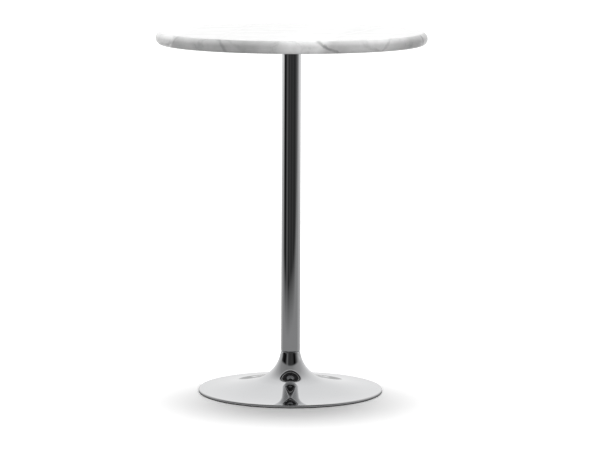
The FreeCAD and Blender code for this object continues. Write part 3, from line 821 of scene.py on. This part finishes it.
rod_mesh = thread_mesh(rod_bottom, rod_bottom + LOWER_THREAD)
add_mesh(rod_mesh, thread_mesh(rod_top - UPPER_THREAD, rod_top))
plain_part = [(0.0, rod_bottom + LOWER_THREAD), (rod_radius, rod_bottom + LOWER_THREAD),
              (rod_radius, rod_top - UPPER_THREAD), (0.0, rod_top - UPPER_THREAD)]
add_mesh(rod_mesh, lathe(plain_part, ROD_STEPS))
finish_mesh(rod_mesh)
new_piece("threaded_tie_rod", rod_mesh, zinc, ["tie_rod"])

# %% Base nut
NUT_ACROSS_FLATS = 18 * MM
NUT_CHAMFER = 1.1 * MM
NUT_CLEARANCE = 0.1 * MM
HALF_FLAT = math.radians(30)
_, nut_bottom, nut_top = turned_size("base_nut")


def nut_mesh():
    """A hexagon prism with its corners taken off, and a bore joined to both faces."""
    mesh_data = bmesh.new()
    corner = NUT_ACROSS_FLATS / 2 / math.cos(HALF_FLAT)
    hexagon = bmesh.ops.create_circle(mesh_data, cap_ends=False, segments=6, radius=corner)["verts"]
    bmesh.ops.rotate(mesh_data, verts=hexagon, cent=(0, 0, 0), matrix=Matrix.Rotation(HALF_FLAT, 3, "Z"))
    bmesh.ops.create_circle(mesh_data, cap_ends=False, segments=36, radius=rod_radius + NUT_CLEARANCE)
    bmesh.ops.bridge_loops(mesh_data, edges=mesh_data.edges[:])
    top_faces = bmesh.ops.extrude_face_region(mesh_data, geom=mesh_data.faces[:])["geom"]
    moved = [g for g in top_faces if isinstance(g, bmesh.types.BMVert)]
    bmesh.ops.translate(mesh_data, verts=moved, vec=(0, 0, nut_top - nut_bottom))
    bmesh.ops.translate(mesh_data, verts=mesh_data.verts, vec=(0, 0, nut_bottom))
    corners = [v for v in mesh_data.verts if math.hypot(v.co.x, v.co.y) > corner - 1e-5]
    bmesh.ops.bevel(mesh_data, geom=corners, offset=NUT_CHAMFER, segments=1, profile=0.5, material=-1,
                    affect="VERTICES")
    finish_mesh(mesh_data)
    return mesh_data


new_piece("hexagon_nut", nut_mesh(), zinc, ["base_nut"])

# %% [markdown]
# ## Imported pieces that keep their shape
#
# The other pieces are right as they come from the imported model, so they keep their
# meshes and only get finishes. Every one gets its own, hidden or not.

# %% Finishes for the imported pieces
PACKED_FINISHES = {
    "mounting_plate": zinc, "plate_collar": zinc, "plate_ribs": zinc, "rod_boss": zinc,
    "plate_washers": zinc, "threaded_inserts": zinc, "clamp_washer": zinc, "spring_washer": zinc,
    "base_plate": powder_coat, "ballast_weight": cast_iron, "core_tube": drawn_steel,
    "neck_ring": drawn_steel, "core_cap": nylon,
}
for node, finish in PACKED_FINISHES.items():
    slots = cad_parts[node].data.materials
    slots.clear()
    slots.append(finish)
print(len(PACKED_FINISHES), "packed pieces keep their shape")

# %% [markdown]
# ## The floor
#
# A mirror shows the room, so the room matters more here than any light. The floor is
# pale paper. To the eye it is plain white paper that takes the table's soft shadow. In
# the chrome it is told apart with the Light Path node: reflected rays see a glow on the
# paper, painted light that is grey near the table and brighter further back, as it is in
# a studio where the lamps hang behind. In front the paper fades into the dark room, and
# on the left, where the roll ends early, it fades sooner.

# %% Floor material
FLOOR_HALF = 30.0
# the paper's grey as it is lit for the eye and for bounced light, and a little glow
SEEN_GREY = 1.12
BOUNCE_GREY = 0.4
GLOW = 0.04
# metres along Y where the mirrored paper starts to fade and has gone
PAPER_FADES = -0.75
PAPER_ENDS = -1.7
# how far out on the left the paper's edge has moved back, and by how much
LEFT_REACH = -2.2
LEFT_SHIFT = -1.32
# metres along Y, and the grey of the painted light that reflected rays see there
PAPER_NEAR = -2.0
PAPER_FAR = 4.0
PAINTED_PAPER_LIGHT = [(-2.0, 0.28), (-0.08, 0.3), (0.202, 0.45), (0.802, 0.52), (2.398, 0.66), (4.0, 0.9)]


def make_paper():
    material = bpy.data.materials.new("studio_paper")
    material.use_nodes = True
    tree = material.node_tree
    tree.nodes.clear()
    path = add_node(tree, "ShaderNodeLightPath").outputs
    position = add_node(tree, "ShaderNodeNewGeometry").outputs["Position"]
    across, depth, _ = add_node(tree, "ShaderNodeSeparateXYZ", {"Vector": position}).outputs
    shift = spread(tree, across, LEFT_REACH, 0.0, LEFT_SHIFT, 0.0)
    shade = blend_colours(tree, path["Is Diffuse Ray"], grey(SEEN_GREY), grey(BOUNCE_GREY))
    lit = add_node(tree, "ShaderNodeBsdfDiffuse", {"Color": shade}).outputs[0]
    glow = math_node(tree, "MULTIPLY", path["Is Camera Ray"], GLOW)
    lift = add_node(tree, "ShaderNodeEmission", {"Strength": glow}).outputs[0]
    plain = add_node(tree, "ShaderNodeAddShader", {0: lit, 1: lift}).outputs[0]
    back = math_node(tree, "ADD", depth, math_node(tree, "MULTIPLY", shift, 0.5))
    # painted light: reflected rays see the paper glow in a grey that stands in for the lamps behind
    tone = ramp_over(tree, back, PAPER_NEAR, PAPER_FAR, PAINTED_PAPER_LIGHT, "EASE")
    mirrored = add_node(tree, "ShaderNodeEmission", {"Color": tone}).outputs[0]
    beyond = add_node(tree, "ShaderNodeBsdfTransparent").outputs[0]
    in_front = spread(tree, math_node(tree, "ADD", depth, shift), PAPER_ENDS, PAPER_FADES, 1.0, 0.0)
    seen = add_node(tree, "ShaderNodeMixShader", {0: in_front, 1: mirrored, 2: beyond}).outputs[0]
    surface = add_node(tree, "ShaderNodeMixShader", {0: path["Is Glossy Ray"], 1: plain, 2: seen}).outputs[0]
    add_node(tree, "ShaderNodeOutputMaterial", {"Surface": surface})
    return material


# %% Floor
floor_grid = bmesh.new()
bmesh.ops.create_grid(floor_grid, x_segments=1, y_segments=1, size=FLOOR_HALF)
floor_mesh = bpy.data.meshes.new("studio_floor")
floor_grid.to_mesh(floor_mesh)
floor_grid.free()
floor_mesh.materials.append(make_paper())
studio_floor = bpy.data.objects.new("studio_floor", floor_mesh)
bpy.context.scene.collection.objects.link(studio_floor)

# %% [markdown]
# ## The room
#
# The world stands for the room's walls and ceiling. It is bright behind the table and
# at the sides and dark in front, where the camera and its operator are, with a few
# lighter gaps. That is what draws the dark core and the pale flanks down the column.
# Three ramps hold the walls, low, middle and high, read by the direction around the
# table, and they are blended by elevation. Over them comes a thin bright ring, which the
# flare shows as a bright outline, and inside it a dark ceiling. Matt surfaces get an
# even grey instead, and the camera itself sees plain white.

# %% Room
# degrees round from the front, towards +X, and grey
LOW_WALL = [(-180, 0.95), (-140, 0.65), (-110, 0.42), (-98, 0.2), (-90, 0.02), (-80, 0.004), (-68, 0.006),
            (-57, 0.07), (-46, 0.13), (-38, 0.08), (-31, 0.008), (-20, 0.06), (-8, 0.05), (5, 0.025),
            (17, 0.055), (30, 0.035), (41, 0.025), (54, 0.06), (68, 0.11), (83, 0.25), (100, 0.52),
            (125, 0.6), (180, 0.95)]
MIDDLE_WALL = [(-180, 0.95), (-125, 0.7), (-104, 0.4), (-90, 0.03), (-64, 0.002), (-50, 0.01), (-42, 0.09),
               (-32, 0.2), (-24, 0.07), (-10, 0.04), (14, 0.05), (28, 0.04), (40, 0.0), (52, 0.01),
               (70, 0.14), (90, 0.4), (115, 0.8), (180, 0.95)]
HIGH_WALL = [(-180, 0.95), (-150, 0.85), (-120, 0.52), (-90, 0.31), (-45, 0.25), (20, 0.26), (50, 0.34),
             (90, 0.42), (120, 0.6), (150, 0.85), (180, 0.95)]
# degrees of elevation over which each part of the room gives way to the next
TO_MIDDLE = (3, 10)
TO_HIGH = (44, 53)
TO_RING = (61, 62)
TO_CEILING = (63.5, 64)
# radians by which the high wall comes down at the sides, and twice as much at the back
BACK_DROP = 0.45
RING_GREY = 0.55
CEILING_GREY = 0.04
MATT_GREY = 0.38


def by_elevation(tree, elevation, limits):
    low, high = (math.radians(degrees) for degrees in limits)
    return spread(tree, elevation, low, high, smooth=True)


def make_room():
    world = bpy.data.worlds.new("studio_room")
    bpy.context.scene.world = world
    world.use_nodes = True
    tree = world.node_tree
    tree.nodes.clear()
    direction = add_node(tree, "ShaderNodeTexCoord").outputs["Generated"]
    x, y, z = add_node(tree, "ShaderNodeSeparateXYZ", {"Vector": direction}).outputs
    azimuth = math_node(tree, "ARCTAN2", x, math_node(tree, "MULTIPLY", y, -1.0))
    turn = math_node(tree, "DEGREES", azimuth)
    elevation = math_node(tree, "ARCSINE", z)
    swing = math_node(tree, "SUBTRACT", 1.0, math_node(tree, "COSINE", azimuth))
    arched = math_node(tree, "ADD", elevation, math_node(tree, "MULTIPLY", swing, BACK_DROP))
    walls = (LOW_WALL, MIDDLE_WALL, HIGH_WALL)
    low, middle, high = [ramp_over(tree, turn, -180, 180, wall) for wall in walls]
    room = blend_colours(tree, by_elevation(tree, elevation, TO_MIDDLE), low, middle)
    room = blend_colours(tree, by_elevation(tree, arched, TO_HIGH), room, high)
    room = blend_colours(tree, by_elevation(tree, elevation, TO_RING), room, grey(RING_GREY))
    room = blend_colours(tree, by_elevation(tree, elevation, TO_CEILING), room, grey(CEILING_GREY))
    path = add_node(tree, "ShaderNodeLightPath").outputs
    room = blend_colours(tree, path["Is Diffuse Ray"], room, grey(MATT_GREY))
    room = blend_colours(tree, path["Is Camera Ray"], room, grey(1.0))
    background = add_node(tree, "ShaderNodeBackground", {"Color": room, "Strength": 1.0})
    add_node(tree, "ShaderNodeOutputWorld", {"Surface": background.outputs[0]})


make_room()
bpy.context.scene.view_settings.view_transform = "Standard"

# %% [markdown]
# ## The lamps
#
# A wide soft lamp hangs above and a little behind, so the stone throws a pale shadow
# forward over the base and the floor, and a second one fills the front of the stone.
# They light the matt surfaces only. The mirrors take their light from the room.

# %% Lamps
def soft_sun(name, azimuth, elevation, spread_angle, strength):
    """A far lamp with a soft edge. Azimuth 0 is in front, and it turns towards +X."""
    data = bpy.data.lights.new(name, "SUN")
    data.angle = math.radians(spread_angle)
    data.energy = strength
    lamp = bpy.data.objects.new(name, data)
    bpy.context.scene.collection.objects.link(lamp)
    turn, lift = math.radians(azimuth), math.radians(elevation)
    towards = Vector((math.sin(turn) * math.cos(lift), -math.cos(turn) * math.cos(lift), math.sin(lift)))
    lamp.rotation_euler = towards.to_track_quat("Z", "Y").to_euler()
    lamp.visible_glossy = False


soft_sun("overhead_lamp", azimuth=180, elevation=80, spread_angle=29, strength=2.5)
soft_sun("front_lamp", azimuth=0, elevation=17, spread_angle=30, strength=1.0)

# %% [markdown]
# ## The camera
#
# A long lens from eight metres away keeps the table's ellipses nearly flat. It stands
# well above the table's top and looks down by less than eight degrees.

# %% Camera
LENS = 180.6
SENSOR_WIDTH = 36.0
VIEW_END = 100.0
CAMERA_PLACE = (0.0254, -8.4, 1.60)
PITCH_DOWN = 7.63
ROLL = 0.25
camera_data = bpy.data.cameras.new("camera")
camera_data.lens = LENS
camera_data.sensor_width = SENSOR_WIDTH
camera_data.clip_end = VIEW_END
camera = bpy.data.objects.new("camera", camera_data)
bpy.context.scene.collection.objects.link(camera)
camera.location = CAMERA_PLACE
camera.rotation_euler = (Matrix.Rotation(math.radians(90 - PITCH_DOWN), 3, "X")
                         @ Matrix.Rotation(math.radians(ROLL), 3, "Z")).to_euler()
bpy.context.scene.camera = camera
